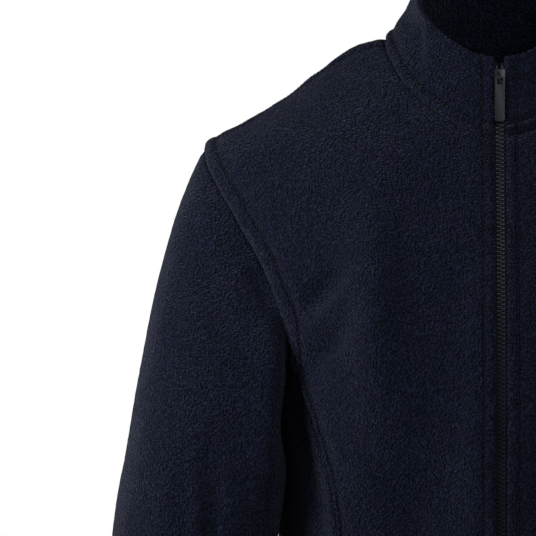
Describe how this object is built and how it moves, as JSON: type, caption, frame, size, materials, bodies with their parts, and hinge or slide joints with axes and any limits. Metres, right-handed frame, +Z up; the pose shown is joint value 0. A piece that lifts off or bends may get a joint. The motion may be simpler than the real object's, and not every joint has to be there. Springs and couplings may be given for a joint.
{
  "type": "fleece zip jacket",
  "caption": "Long-sleeved fleece jacket with a stand collar and a full-length front zip, filled out as when worn and zipped to the top.",
  "frame": {"origin": "midway between the two points where the shoulder seams meet the collar, inside the neck opening", "axes": "+Z up along the wearer, the front faces -Y, the wearer's left is at +X"},
  "size_m": [0.5532, 0.2447, 0.7219],
  "materials": {
    "fleece": "dark navy fleece with a short pebbled pile",
    "zip_tape": "dark woven tape",
    "zip_teeth": "dark moulded plastic",
    "zip_metal": "dark enamelled metal"
  },
  "bodies": {
    "jacket": {"back": "fleece", "collar": "fleece", "front_left": "fleece", "front_right": "fleece", "side_left": "fleece", "side_right": "fleece", "sleeve_left": "fleece", "sleeve_right": "fleece", "zip_tape_left": "zip_tape", "zip_tape_right": "zip_tape", "zip_teeth_left": "zip_teeth", "zip_teeth_right": "zip_teeth", "zip_box": "zip_teeth", "zip_stop_left": "zip_metal", "zip_stop_right": "zip_metal", "zip_slider": "zip_metal"},
    "pull": {"zip_pull": "zip_metal"}
  },
  "joints": [
    {"name": "pull_swing", "type": "hinge", "parent": "jacket", "child": "pull", "pos_m": [0, -0.08268, -0.02798], "axis": [-1, 0, 0], "range_deg": [0, 150]}
  ]
}
